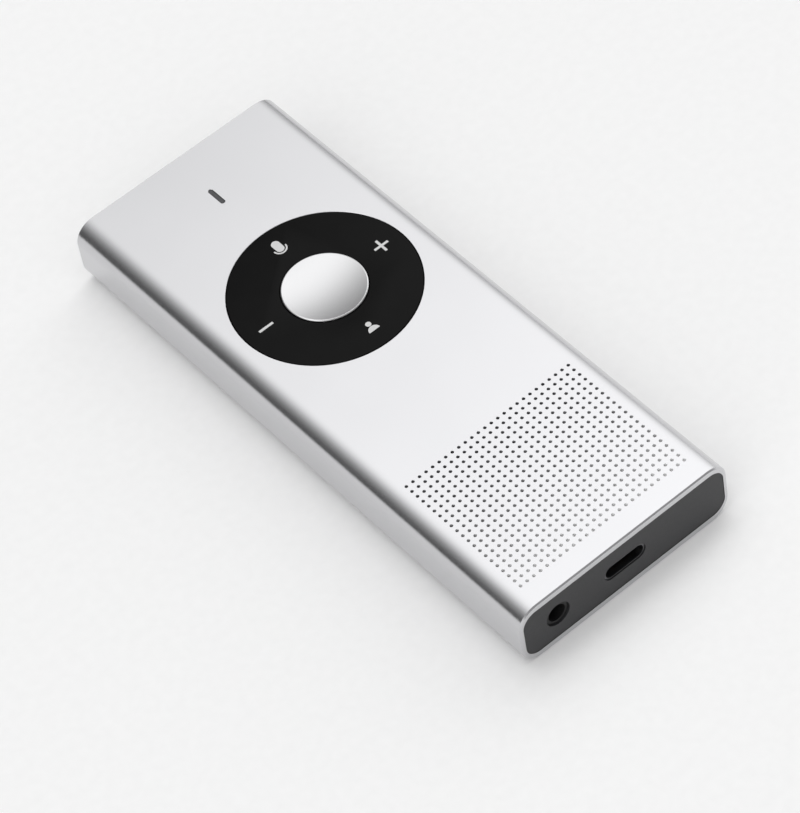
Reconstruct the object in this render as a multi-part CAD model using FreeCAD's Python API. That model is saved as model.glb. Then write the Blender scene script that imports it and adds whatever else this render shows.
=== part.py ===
import FreeCAD, Part
import math
import os
from FreeCAD import Vector

# Handheld translator lying on its back, in millimetres.
# X is the width, Y the length with the ports at the -Y end, Z up out of the face.
# The origin is under the middle of the back.
LENGTH = 120.5
WIDTH = 45.9
THICK = 13.5

# Extruded aluminium sleeve
CORNER_R = 4.0
SIDE_WALL = 0.77
FACE_WALL = 1.36
BACK_WALL = 1.38
INNER_CORNER_R = 2.9
END_CHAMFER = 0.25

# Speaker grille: a square pitch of drilled holes
GRILLE_PITCH = 1.45
GRILLE_COLUMNS = 26
GRILLE_ROWS = 21
GRILLE_FIRST_Y = -26.5
GRILLE_HOLE_D = 0.6
GRILLE_PIT_DEPTH = 1.1

# Round dial with a dished button in the middle
DIAL_Y = 17.1
DIAL_OPENING_R = 17.5
DIAL_GAP = 0.15
DIAL_PLATE = 1.6
DIAL_HOOK_R = 18.3
DIAL_HOOK_TOP = 11.6
DIAL_HOOK_BOTTOM = 10.9
DIAL_HOOK_HALF = 2.5
DIAL_HOOK_ARM = 1.2
DIAL_RIM = 0.4
PRESS_R = 14.5
PRESS_FOOT_HALF = 1.3
PRESS_GAP = 0.35

BUTTON_R = 7.8
BUTTON_PROUD = 0.3
BUTTON_DISH = 0.75
BUTTON_EDGE = 0.25
BUTTON_SKIRT = 2.2
BUTTON_TRAVEL = 0.4
BUTTON_FLANGE_R = 8.45
BUTTON_FLANGE_BOTTOM = 11.0
BUTTON_STEM_R = 2.0
BUTTON_REST_GAP = 0.05

# Two-axis pivot under the dial
PIVOT_Z = 10.3
GIMBAL_R_IN = 8.9
GIMBAL_R_OUT = 9.9
GIMBAL_THICK = 0.8
TRUNNION_R = 0.3
TRUNNION_GAP = 0.05
TRUNNION_END = 12.0
LUG_IN = 10.6
LUG_OUT = 12.2
LUG_HALF = 1.2
LUG_BOTTOM = 9.65

# Status light window
SLOT_Y = 47.6
SLOT_LENGTH = 4.35
SLOT_WIDTH = 0.87
SLOT_GAP = 0.07

# Ports in the near end
PORT_Z = 6.9
JACK_X = -14.8
JACK_HOLE_R = 2.5
JACK_BORE_R = 1.8
JACK_BORE_DEPTH = 13.4
JACK_NOSE_R = 2.4
JACK_HALF = 2.5
USB_WIDTH = 8.94
USB_HEIGHT = 3.26
USB_WALL = 0.3
USB_LENGTH = 7.35
PORT_GAP = 0.08
USB_RECESS = 0.2
USB_SIDE_FLAT = 0.02
TONGUE_HALF = 3.35
TONGUE_BASE = 1.2
TONGUE_REACH = 5.6
TONGUE_THICK = 0.7
CONTACT_PITCH = 0.5
CONTACT_WIDTH = 0.26
CONTACT_HEIGHT = 0.05
CONTACT_COUNT = 12
CONTACT_SETBACK = 0.4
JACK_RECESS = 0.4
JACK_WALL = 0.7
JACK_CONTACT = 0.15
JACK_CONTACT_YS = (-55.5, -52.0, -48.5)
JACK_CONTACT_RISE = 1.2
JACK_CONTACT_HALF = 0.5

# End caps
CAP_RECESS = 0.1
CAP_THICK = 3.0
CAP_GAP = 0.03
CAP_ARM = 1.2
CAP_ARM_LENGTH = 6.0
CAP_ARM_HALF = 2.4

# Microphone and the way for sound through the far cap
MIC_X = 8.0
MIC_Z = 8.5
MIC_HOLE_R = 0.5
MIC_NEAR = 52.6
MIC_FAR = 55.6
MIC_HALF = 2.0
MIC_HEIGHT = 1.1
MIC_GASKET_HALF = 1.5
MIC_GASKET_HEIGHT = 1.8

# Boards
BOARD_THICK = 0.8
BOARD_BOTTOM = 7.1
BOARD_HALF = 20.4
BOARD_NEAR = -21.8
BOARD_FAR = 56.4
SCREW_R = 0.8
SCREW_HEAD_R = 1.4
SCREW_HEAD = 0.6
SCREW_LENGTH = 3.2
DOME_R = 2.1
DOME_HEIGHT = 0.35
SCREW_X = 18.8
SCREW_NEAR = -19.4
SCREW_FAR = 53.6
SCREW_GAP = 0.02

# Shield with the chips under it, on the board's lower side, and the radio on its upper side
SHIELD_HALF = 13.0
SHIELD_NEAR = 2.0
SHIELD_FAR = 28.0
SHIELD_HEIGHT = 1.5
SHIELD_SHEET = 0.2
PROCESSOR_HALF = 6.0
PROCESSOR_Y = 12.0
PROCESSOR_HEIGHT = 1.0
MEMORY_HALF_X = 5.0
MEMORY_HALF_Y = 3.8
MEMORY_Y = 23.0
MEMORY_HEIGHT = 0.9
RADIO_LEFT = -16.0
RADIO_RIGHT = -3.5
RADIO_NEAR = 38.0
RADIO_FAR = 49.0
RADIO_HEIGHT = 1.7
ANTENNA_LEFT = -19.0
ANTENNA_RIGHT = 3.5
ANTENNA_LOW = 8.3
ANTENNA_HIGH = 11.6
ANTENNA_THICK = 0.3

# Status lamp under its light pipe
LED_HALF_X = 0.8
LED_HALF_Y = 0.4
LED_HEIGHT = 0.6
PIPE_GAP = 0.1
PIPE_FOOT_HALF_X = 1.0
PIPE_FOOT_HALF_Y = 2.6
PIPE_SINK = 0.08

# Keypad frame on the main board
FRAME_HALF = 19.6
FRAME_BOTTOM = 8.7
FRAME_THICK = 0.6
GUIDE_HALF = 3.2
GUIDE_GAP = 0.06
GUIDE_TOP = 10.4
FRAME_LEG_AT = 17.4
FRAME_LEG_HALF = 1.6
FRAME_WINDOW_GAP = 0.5
FRAME_LUG_OVER_PIVOT = 0.7

# Chassis tray
RAIL_GAP = 0.1
RAIL_IN = 20.9
RAIL_OVER_BOARD = 1.5
RAIL_CLEAR = 0.05
SHELF_NEAR = -45.6
SHELF_FAR = -23.2
SHELF_LOW = 8.4
SHELF_HIGH = 9.2
RIB_HALF = 19.0
RIB_THICK = 1.4
NEAR_RIB_Y = -22.9
FAR_RIB_Y = 51.2
FAR_RIB_THICK = 1.2
POST_HALF = 1.5
POST_WEB = 0.6
CABLE_WAY_LEFT = 1.5
CABLE_WAY_RIGHT = 10.5
CABLE_WAY_LOW = 5.0

# Speaker
SPEAKER_Y = -35.2
SPEAKER_LENGTH = 34.0
SPEAKER_WIDTH = 19.6
SPEAKER_TOP = 11.4
SPEAKER_CORNER = 0.45
SPEAKER_RIM_LOW = 9.2
SPEAKER_CUP_IN = 1.5
SPEAKER_CUP_LOW = 7.6
SPEAKER_CAVITY_IN = 2.3
SPEAKER_CAVITY_LOW = 8.2
SPEAKER_HOLE_IN = 1.2
MAGNET_HALF_X = 7.0
MAGNET_HALF_Y = 5.0
MAGNET_CORNER = 1.0
MAGNET_THICK = 1.4
ROLL_IN = 2.35
ROLL_DROP = 0.9
ROLL_THICK = 0.3
CONE_PLATE_X = 9.5
CONE_PLATE_Y = 4.0
CONE_PLATE_CORNER = 1.6
CONE_PLATE_DROP = 0.2
GASKET_OUT = 0.6
GASKET_IN = 1.6
MESH_THICK = 0.1
MESH_GLUE = 0.02
MESH_HALF = 18.9
MESH_NEAR = -56.6
MESH_FAR = -25.4
SPEAKER_TAB_X = 14.2
SPEAKER_TAB_HALF = 0.9
SPEAKER_TAB_THICK = 0.2
SPEAKER_TAB_START = 9.9
SPEAKER_TAB_END = 14.0
CONE_HALF_X = 14.7
CONE_HALF_Y = 7.5

# Battery
BATTERY_HALF = 17.0
BATTERY_NEAR = -20.0
BATTERY_FAR = 38.0
BATTERY_BOTTOM = 1.75
BATTERY_THICK = 3.6
BATTERY_BEVEL = 1.0
TAPE_HALF = 12.0
TAPE_NEAR = -12.0
TAPE_FAR = 30.0
TAIL_HALF = 1.75
TAIL_THICK = 0.2
TAIL_UNDER_BOARD = 1.4
PLUG_Y = 44.0
PLUG_LENGTH = 4.0
PLUG_HALF = 2.2
PLUG_HEIGHT = 2.0

# Small board behind the sockets and its flat cable
PORT_BOARD_LEFT = -20.2
PORT_BOARD_RIGHT = 13.0
PORT_BOARD_FAR = -44.9
PORT_BOARD_GAP = 0.2
FLEX_LEFT = 2.0
FLEX_WIDTH = 8.0
FLEX_THICK = 0.15

# How far a joined or cut form runs on past the face it meets
RUN_IN = 0.5
RUN_OUT = 1.0
TINY = 1e-6

CEILING = THICK - FACE_WALL
BOARD_TOP = BOARD_BOTTOM + BOARD_THICK
FRAME_TOP = FRAME_BOTTOM + FRAME_THICK
DIAL_UNDERSIDE = THICK - DIAL_PLATE
DIAL_R = DIAL_OPENING_R - DIAL_GAP
DIAL_HOLE_R = BUTTON_R + DIAL_GAP
NEAR_END = -LENGTH / 2
FAR_END = LENGTH / 2
CAP_INNER = NEAR_END + CAP_RECESS + CAP_THICK
DOME_TOP = BOARD_TOP + DOME_HEIGHT
DIAL_ROOT = THICK - DIAL_RIM
SHELL_MOUTH = NEAR_END + CAP_RECESS + USB_RECESS
SHELL_BACK = SHELL_MOUTH + USB_LENGTH - USB_WALL
JACK_MOUTH = NEAR_END + CAP_RECESS + JACK_RECESS
JACK_BACK = JACK_MOUTH + JACK_BORE_DEPTH + JACK_RECESS
JACK_HALF_X = JACK_HALF + JACK_WALL
PORT_BOARD_TOP = PORT_Z - USB_HEIGHT / 2
FAR_CAP_INNER = FAR_END - CAP_RECESS - CAP_THICK


# Plain solids
def box(x0, x1, y0, y1, z0, z1):
    return Part.makeBox(x1 - x0, y1 - y0, z1 - z0, Vector(x0, y0, z0))


def disc(x, y, z0, z1, radius):
    return Part.makeCylinder(radius, z1 - z0, Vector(x, y, z0))


def rod_x(x0, x1, y, z, radius):
    return Part.makeCylinder(radius, x1 - x0, Vector(x0, y, z), Vector(1, 0, 0))


def rod_y(x, y0, y1, z, radius):
    return Part.makeCylinder(radius, y1 - y0, Vector(x, y0, z), Vector(0, 1, 0))


def revolved(profile, x, y):
    """Solid of revolution about the vertical line through x, y; profile points are (radius, z)."""
    points = [Vector(r, 0, z) for r, z in profile]
    face = Part.Face(Part.makePolygon(points + points[:1]))
    solid = face.revolve(Vector(0, 0, 0), Vector(0, 0, 1), 360)
    return solid.translated(Vector(x, y, 0))


def rounded_wire(half_a, half_b, radius, place):
    """Closed rounded rectangle; place turns the two flat coordinates into a point."""
    edges = []
    corners = [(1, 1), (-1, 1), (-1, -1), (1, -1)]
    diagonal = radius * (1 - math.sqrt(0.5))
    ends = []
    for sa, sb in corners:
        on_side = (sa * half_a, sb * (half_b - radius))
        on_top = (sa * (half_a - radius), sb * half_b)
        middle = (sa * (half_a - diagonal), sb * (half_b - diagonal))
        first, last = (on_side, on_top) if sa * sb > 0 else (on_top, on_side)
        arc = Part.Arc(place(*first), place(*middle), place(*last))
        edges.append(arc.toShape())
        ends.append((first, last))
    for index in range(4):
        start = ends[index][1]
        finish = ends[(index + 1) % 4][0]
        gap = math.hypot(finish[0] - start[0], finish[1] - start[1])
        if gap > TINY:
            edges.append(Part.makeLine(place(*start), place(*finish)))
    return Part.Wire(Part.__sortEdges__(edges))


def bar_y(half_x, half_z, radius, x, z, y0, y1):
    """Bar along Y with a rounded rectangular section."""
    wire = rounded_wire(half_x, half_z, radius, lambda a, b: Vector(x + a, y0, z + b))
    return Part.Face(wire).extrude(Vector(0, y1 - y0, 0))


def plate(half_x, half_y, radius, x, y, z0, z1):
    """Flat plate with rounded corners in plan."""
    wire = rounded_wire(half_x, half_y, radius, lambda a, b: Vector(x + a, y + b, z0))
    return Part.Face(wire).extrude(Vector(0, 0, z1 - z0))


def cut_all(solid, tools):
    return solid.cut(Part.makeCompound(tools))


def joined(solids):
    return solids[0].multiFuse(solids[1:]).removeSplitter()


def inner_bar(gap, y0, y1):
    """Bar that fills the sleeve's bore less a gap all round."""
    half_x = WIDTH / 2 - SIDE_WALL - gap
    half_z = (CEILING - BACK_WALL) / 2 - gap
    return bar_y(half_x, half_z, INNER_CORNER_R, 0, (CEILING + BACK_WALL) / 2, y0, y1)


# Sleeve: one extrusion, cut square, with the dial opening, the light slot and the grille
def square(half, z):
    corners = [Vector(-half, -half, z), Vector(half, -half, z), Vector(half, half, z), Vector(-half, half, z)]
    return Part.makePolygon(corners + corners[:1])


def grille_holes():
    """Holes over the speaker's cone go through the wall; the rest are blind, with a drill point.

    Drilled round on the real sleeve; square here, of the same area, to keep the faces few.
    """
    half = GRILLE_HOLE_D * math.sqrt(math.pi) / 4
    through = Part.Face(square(half, CEILING - RUN_OUT)).extrude(Vector(0, 0, FACE_WALL + 2 * RUN_OUT))
    tip = Part.Vertex(0, 0, THICK - GRILLE_PIT_DEPTH)
    pit = Part.makeLoft([square(half, THICK), tip], True)
    holes = []
    for row in range(GRILLE_ROWS):
        y = GRILLE_FIRST_Y - row * GRILLE_PITCH
        for column in range(GRILLE_COLUMNS):
            x = (column - (GRILLE_COLUMNS - 1) / 2) * GRILLE_PITCH
            over_cone = abs(x) < CONE_HALF_X and abs(y - SPEAKER_Y) < CONE_HALF_Y
            tool = through if over_cone else pit
            holes.append(tool.translated(Vector(x, y, 0)))
    return holes


def light_slot(gap, z0, z1):
    half_x = SLOT_WIDTH / 2 - gap
    half_y = SLOT_LENGTH / 2 - gap
    return plate(half_x, half_y, half_x, 0, SLOT_Y, z0, z1)


def sleeve():
    outside = bar_y(WIDTH / 2, THICK / 2, CORNER_R, 0, THICK / 2, NEAR_END, FAR_END)
    rims = [edge for edge in outside.Edges if edge.BoundBox.YLength < TINY]
    outside = outside.makeChamfer(END_CHAMFER, rims)
    tube = outside.cut(inner_bar(0, NEAR_END - RUN_OUT, FAR_END + RUN_OUT))
    low = CEILING - RUN_OUT
    high = THICK + RUN_OUT
    opening = disc(0, DIAL_Y, low, high, DIAL_OPENING_R)
    return cut_all(tube, [opening, light_slot(0, low, high)] + grille_holes())


# End caps: dark moulded plugs that close the sleeve
def cap_arm(side, y0, y1):
    """Side arm that reaches back along the sleeve and meets the chassis rail."""
    outer = WIDTH / 2 - SIDE_WALL - CAP_GAP
    x0, x1 = sorted([side * outer, side * (outer - CAP_ARM)])
    return box(x0, x1, y0, y1, PORT_Z - CAP_ARM_HALF, PORT_Z + CAP_ARM_HALF)


def usb_mouth(gap, y0, y1):
    """Bar with nearly half-round sides; a sliver of each side stays flat."""
    half_x = USB_WIDTH / 2 + gap
    half_z = USB_HEIGHT / 2 + gap
    return bar_y(half_x, half_z, half_z - USB_SIDE_FLAT / 2, 0, PORT_Z, y0, y1)


def end_cap_ports():
    outer_y = NEAR_END + CAP_RECESS
    blank = inner_bar(CAP_GAP, outer_y, CAP_INNER)
    arms = [cap_arm(side, CAP_INNER - RUN_IN, CAP_INNER + CAP_ARM_LENGTH) for side in (-1, 1)]
    cap = joined([blank] + arms)
    start = outer_y - RUN_OUT
    end = CAP_INNER + RUN_OUT
    jack = rod_y(JACK_X, start, end, PORT_Z, JACK_HOLE_R)
    return cut_all(cap, [jack, usb_mouth(PORT_GAP, start, end)])


def end_cap_far():
    outer_y = FAR_END - CAP_RECESS
    blank = inner_bar(CAP_GAP, FAR_CAP_INNER, outer_y)
    return blank.cut(sound_hole(FAR_CAP_INNER - RUN_OUT, outer_y + RUN_OUT))


def sound_hole(y0, y1):
    """Six-sided way for sound into the microphone."""
    corners = []
    for index in range(6):
        angle = math.radians(60 * index)
        x = MIC_X + MIC_HOLE_R * math.cos(angle)
        corners.append(Vector(x, y0, MIC_Z + MIC_HOLE_R * math.sin(angle)))
    face = Part.Face(Part.makePolygon(corners + corners[:1]))
    return face.extrude(Vector(0, y1 - y0, 0))


# Dial ring: one moulding with four press feet, four hooks and two forks for the pivot pins
FOUR_WAYS = ((1, 0), (-1, 0), (0, 1), (0, -1))


def fork(x, y, half_x, half_y, z0, z1, slot_axis_x, open_up):
    """Block with an open slot that a pivot pin snaps into."""
    block = box(x - half_x, x + half_x, y - half_y, y + half_y, z0, z1)
    reach = TRUNNION_R + TRUNNION_GAP
    slot_z0 = PIVOT_Z - reach if open_up else z0 - RUN_OUT
    slot_z1 = z1 + RUN_OUT if open_up else PIVOT_Z + reach
    long_x = half_x + RUN_OUT if slot_axis_x else reach
    long_y = reach if slot_axis_x else half_y + RUN_OUT
    return block.cut(box(x - long_x, x + long_x, y - long_y, y + long_y, slot_z0, slot_z1))


def dial_hook():
    """Snap hook that catches under the edge of the sleeve's opening, drawn on the +X side."""
    outer = DIAL_R - DIAL_RIM
    inner = outer - DIAL_HOOK_ARM
    half = DIAL_HOOK_HALF
    arm = box(inner, outer, -half, half, DIAL_HOOK_BOTTOM, DIAL_ROOT)
    toe = box(inner, DIAL_HOOK_R, -half, half, DIAL_HOOK_BOTTOM, DIAL_HOOK_TOP)
    return joined([arm, toe])


def dial_ring():
    profile = [
        (DIAL_HOLE_R, DIAL_UNDERSIDE),
        (DIAL_HOLE_R, THICK),
        (DIAL_R, THICK),
        (DIAL_R, DIAL_UNDERSIDE),
    ]
    pieces = [revolved(profile, 0, DIAL_Y)]
    for dx, dy in FOUR_WAYS:
        x = dx * PRESS_R
        y = DIAL_Y + dy * PRESS_R
        foot = PRESS_FOOT_HALF
        pieces.append(box(x - foot, x + foot, y - foot, y + foot, DOME_TOP + PRESS_GAP, DIAL_ROOT))
    for turn in (45, 135, 225, 315):
        hook = dial_hook()
        hook.rotate(Vector(0, 0, 0), Vector(0, 0, 1), turn)
        pieces.append(hook.translated(Vector(0, DIAL_Y, 0)))
    middle = (LUG_IN + LUG_OUT) / 2
    half = (LUG_OUT - LUG_IN) / 2
    for side in (-1, 1):
        y = DIAL_Y + side * middle
        pieces.append(fork(0, y, LUG_HALF, half, LUG_BOTTOM, DIAL_ROOT, False, False))
    return joined(pieces)


EIGHTH = math.radians(45)


def octagon(radius, z0, z1):
    """Eight-sided plate about the dial's centre; radius is to its corners."""
    corners = []
    for index in range(8):
        angle = EIGHTH * (index + 0.5)
        corners.append(Vector(radius * math.cos(angle), DIAL_Y + radius * math.sin(angle), z0))
    face = Part.Face(Part.makePolygon(corners + corners[:1]))
    return face.extrude(Vector(0, 0, z1 - z0))


def dial_gimbal():
    """Stamped ring between frame and dial: pins along X sit in the frame, pins along Y in the dial."""
    z0 = PIVOT_Z - GIMBAL_THICK / 2
    z1 = PIVOT_Z + GIMBAL_THICK / 2
    flat = math.cos(EIGHTH / 2)
    opening = octagon(GIMBAL_R_IN / flat, z0 - RUN_OUT, z1 + RUN_OUT)
    ring = octagon(GIMBAL_R_OUT / flat, z0, z1).cut(opening)
    start = (GIMBAL_R_IN + GIMBAL_R_OUT) / 2
    pieces = [
        ring,
        rod_x(start, TRUNNION_END, DIAL_Y, PIVOT_Z, TRUNNION_R),
        rod_x(-TRUNNION_END, -start, DIAL_Y, PIVOT_Z, TRUNNION_R),
        rod_y(0, DIAL_Y + start, DIAL_Y + TRUNNION_END, PIVOT_Z, TRUNNION_R),
        rod_y(0, DIAL_Y - TRUNNION_END, DIAL_Y - start, PIVOT_Z, TRUNNION_R),
    ]
    return joined(pieces)


# Centre button: a turned aluminium dish on a moulded plunger
def centre_button():
    top = THICK + BUTTON_PROUD
    rim = BUTTON_R - BUTTON_EDGE
    profile = [(0, top - BUTTON_DISH)]
    for share in (0.5, 1):
        profile.append((rim * share, top - BUTTON_DISH * (1 - share * share)))
    profile.append((BUTTON_R, top - BUTTON_EDGE))
    profile.append((BUTTON_R, top - BUTTON_SKIRT))
    profile.append((0, top - BUTTON_SKIRT))
    return revolved(profile, 0, DIAL_Y)


def button_plunger():
    """Moulded stem with a flange that the dial ring holds down."""
    foot = DOME_TOP + BUTTON_TRAVEL + BUTTON_REST_GAP
    top = THICK + BUTTON_PROUD - BUTTON_SKIRT
    flange = octagon(BUTTON_FLANGE_R, BUTTON_FLANGE_BOTTOM, top)
    middle = (BUTTON_FLANGE_BOTTOM + top) / 2
    return joined([flange, disc(0, DIAL_Y, foot, middle, BUTTON_STEM_R)])


# Keypad frame: stands on the board, guides the plunger and carries the gimbal's pins
def keypad_frame():
    web = box(-FRAME_HALF, FRAME_HALF, DIAL_Y - FRAME_HALF, DIAL_Y + FRAME_HALF, FRAME_BOTTOM, FRAME_TOP)
    guide = GUIDE_HALF
    pieces = [web, box(-guide, guide, DIAL_Y - guide, DIAL_Y + guide, FRAME_BOTTOM, GUIDE_TOP)]
    middle = (LUG_IN + LUG_OUT) / 2
    half = (LUG_OUT - LUG_IN) / 2
    lug_top = PIVOT_Z + FRAME_LUG_OVER_PIVOT
    for side in (-1, 1):
        pieces.append(fork(side * middle, DIAL_Y, half, LUG_HALF, FRAME_BOTTOM, lug_top, True, True))
    for sx in (-1, 1):
        for sy in (-1, 1):
            x = sx * FRAME_LEG_AT
            y = DIAL_Y + sy * FRAME_LEG_AT
            leg = FRAME_LEG_HALF
            pieces.append(box(x - leg, x + leg, y - leg, y + leg, BOARD_TOP, FRAME_TOP))
    frame = joined(pieces)
    tools = [disc(0, DIAL_Y, BOARD_TOP, GUIDE_TOP + RUN_OUT, BUTTON_STEM_R + GUIDE_GAP)]
    window = PRESS_FOOT_HALF + FRAME_WINDOW_GAP
    for dx, dy in FOUR_WAYS:
        x = dx * PRESS_R
        y = DIAL_Y + dy * PRESS_R
        tools.append(box(x - window, x + window, y - window, y + window, BOARD_TOP, FRAME_TOP + RUN_OUT))
    return cut_all(frame, tools)


def board_screw_places():
    return [(side * SCREW_X, y) for y in (SCREW_NEAR, SCREW_FAR) for side in (-1, 1)]


def hexagon(x, y, z0, z1, radius):
    """Six-sided bar, used for the small screws and their holes."""
    corners = []
    for index in range(6):
        angle = math.radians(60 * index)
        corners.append(Vector(x + radius * math.cos(angle), y + radius * math.sin(angle), z0))
    face = Part.Face(Part.makePolygon(corners + corners[:1]))
    return face.extrude(Vector(0, 0, z1 - z0))


def screw(x, y):
    head = hexagon(x, y, BOARD_TOP, BOARD_TOP + SCREW_HEAD, SCREW_HEAD_R)
    shank = hexagon(x, y, BOARD_TOP - SCREW_LENGTH, BOARD_TOP + SCREW_HEAD / 2, SCREW_R - SCREW_GAP)
    return joined([head, shank])


def board_screws():
    return Part.makeCompound([screw(x, y) for x, y in board_screw_places()])


# Main board and what is soldered to it
def main_board():
    board = box(-BOARD_HALF, BOARD_HALF, BOARD_NEAR, BOARD_FAR, BOARD_BOTTOM, BOARD_TOP)
    holes = []
    for x, y in board_screw_places():
        holes.append(hexagon(x, y, BOARD_BOTTOM - RUN_OUT, BOARD_TOP + RUN_OUT, SCREW_R))
    return cut_all(board, holes)


def dome(x, y):
    """Pressed metal dome, drawn as an eight-sided pad."""
    return octagon(DOME_R, BOARD_TOP, DOME_TOP).translated(Vector(x, y - DIAL_Y, 0))


def rocker_domes():
    return Part.makeCompound([dome(dx * PRESS_R, DIAL_Y + dy * PRESS_R) for dx, dy in FOUR_WAYS])


def centre_dome():
    return dome(0, DIAL_Y)


def under_board(half_x, near, far, height):
    """Block hanging from the board's lower side."""
    return box(-half_x, half_x, near, far, BOARD_BOTTOM - height, BOARD_BOTTOM)


def shield_can():
    shell = under_board(SHIELD_HALF, SHIELD_NEAR, SHIELD_FAR, SHIELD_HEIGHT)
    sheet = SHIELD_SHEET
    room = under_board(SHIELD_HALF - sheet, SHIELD_NEAR + sheet, SHIELD_FAR - sheet, SHIELD_HEIGHT - sheet)
    return shell.cut(room)


def processor():
    half = PROCESSOR_HALF
    return under_board(half, PROCESSOR_Y - half, PROCESSOR_Y + half, PROCESSOR_HEIGHT)


def memory_chip():
    return under_board(MEMORY_HALF_X, MEMORY_Y - MEMORY_HALF_Y, MEMORY_Y + MEMORY_HALF_Y, MEMORY_HEIGHT)


def radio_module():
    return box(RADIO_LEFT, RADIO_RIGHT, RADIO_NEAR, RADIO_FAR, BOARD_TOP, BOARD_TOP + RADIO_HEIGHT)


def antenna():
    near = FAR_CAP_INNER - ANTENNA_THICK
    return box(ANTENNA_LEFT, ANTENNA_RIGHT, near, FAR_CAP_INNER, ANTENNA_LOW, ANTENNA_HIGH)


def status_led():
    half_y = LED_HALF_Y
    return box(-LED_HALF_X, LED_HALF_X, SLOT_Y - half_y, SLOT_Y + half_y, BOARD_TOP, BOARD_TOP + LED_HEIGHT)


def status_light_pipe():
    low = BOARD_TOP + LED_HEIGHT + PIPE_GAP
    half_y = PIPE_FOOT_HALF_Y
    foot_top = CEILING - PIPE_GAP / 2
    foot = box(-PIPE_FOOT_HALF_X, PIPE_FOOT_HALF_X, SLOT_Y - half_y, SLOT_Y + half_y, low, foot_top)
    return joined([foot, light_slot(SLOT_GAP, foot_top - PIPE_GAP, THICK - PIPE_SINK)])


def microphone():
    return box(MIC_X - MIC_HALF, MIC_X + MIC_HALF, MIC_NEAR, MIC_FAR, BOARD_TOP, BOARD_TOP + MIC_HEIGHT)


def microphone_gasket():
    half = MIC_GASKET_HALF
    block = box(MIC_X - half, MIC_X + half, MIC_FAR, FAR_CAP_INNER, BOARD_TOP, BOARD_TOP + MIC_GASKET_HEIGHT)
    return block.cut(sound_hole(MIC_FAR - RUN_OUT, FAR_CAP_INNER + RUN_OUT))


# Chassis: moulded tray between the end caps that carries the boards and the speaker
def cross_rib(y, thick, low, high):
    """Rib from rail to rail, with a narrower foot down to the sleeve's back wall."""
    y0 = y - thick / 2
    y1 = y + thick / 2
    reach = RAIL_IN + RUN_IN
    web = box(-reach, reach, y0, y1, low, high)
    foot = box(-RIB_HALF, RIB_HALF, y0, y1, BACK_WALL + RAIL_CLEAR, low + RUN_IN)
    return [web, foot]


def chassis():
    rail_out = WIDTH / 2 - SIDE_WALL - RAIL_GAP
    near = CAP_INNER + CAP_ARM_LENGTH + 2 * RAIL_GAP
    low = BACK_WALL + INNER_CORNER_R + RAIL_CLEAR
    reach = RAIL_IN + RUN_IN
    pieces = []
    for side in (-1, 1):
        x0, x1 = sorted([side * RAIL_IN, side * rail_out])
        pieces.append(box(x0, x1, near, BOARD_FAR, low, BOARD_TOP + RAIL_OVER_BOARD))
    shelf = box(-reach, reach, SHELF_NEAR, SHELF_FAR, SHELF_LOW, SHELF_HIGH)
    pieces.append(shelf.cut(speaker_outline(-SPEAKER_HOLE_IN, SHELF_LOW - RUN_OUT, SHELF_HIGH + RUN_OUT)))
    pieces += cross_rib(NEAR_RIB_Y, RIB_THICK, low, SHELF_HIGH)
    pieces += cross_rib(FAR_RIB_Y, FAR_RIB_THICK, low, BOARD_BOTTOM)
    for x, y in board_screw_places():
        inward, outward = sorted([x, math.copysign(reach, x)])
        pieces.append(box(inward, outward, y - POST_WEB, y + POST_WEB, low, BOARD_BOTTOM))
        pieces.append(box(x - POST_HALF, x + POST_HALF, y - POST_HALF, y + POST_HALF, low, BOARD_BOTTOM))
    tray = joined(pieces)
    hole_z = BOARD_TOP - SCREW_LENGTH - 2 * RAIL_GAP
    tools = [hexagon(x, y, hole_z, BOARD_BOTTOM + RUN_OUT, SCREW_R) for x, y in board_screw_places()]
    way_near = NEAR_RIB_Y - RUN_OUT
    way_far = NEAR_RIB_Y + RUN_OUT
    way_top = BOARD_BOTTOM + 2 * RAIL_GAP
    tools.append(box(CABLE_WAY_LEFT, CABLE_WAY_RIGHT, way_near, way_far, CABLE_WAY_LOW, way_top))
    return cut_all(tray, tools)


# Speaker
def cut_corner_plate(half_x, half_y, cut, y, z0, z1):
    """Flat plate on the long axis with its corners cut off."""
    corners = []
    for sx, sy in ((1, 1), (-1, 1), (-1, -1), (1, -1)):
        on_side = Vector(sx * half_x, y + sy * (half_y - cut), z0)
        on_end = Vector(sx * (half_x - cut), y + sy * half_y, z0)
        corners += [on_side, on_end] if sx * sy > 0 else [on_end, on_side]
    face = Part.Face(Part.makePolygon(corners + corners[:1]))
    return face.extrude(Vector(0, 0, z1 - z0))


def speaker_outline(grow, z0, z1):
    half_x = SPEAKER_LENGTH / 2 + grow
    half_y = SPEAKER_WIDTH / 2 + grow
    return cut_corner_plate(half_x, half_y, half_y * SPEAKER_CORNER, SPEAKER_Y, z0, z1)


def speaker_basket():
    rim = speaker_outline(0, SPEAKER_RIM_LOW, SPEAKER_TOP)
    cup = speaker_outline(-SPEAKER_CUP_IN, SPEAKER_CUP_LOW, SPEAKER_RIM_LOW + RUN_IN)
    basket = joined([rim, cup])
    return basket.cut(speaker_outline(-SPEAKER_CAVITY_IN, SPEAKER_CAVITY_LOW, SPEAKER_TOP + RUN_OUT))


def speaker_magnet():
    low = SPEAKER_CUP_LOW - MAGNET_THICK
    return cut_corner_plate(MAGNET_HALF_X, MAGNET_HALF_Y, MAGNET_CORNER, SPEAKER_Y, low, SPEAKER_CUP_LOW)


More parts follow.
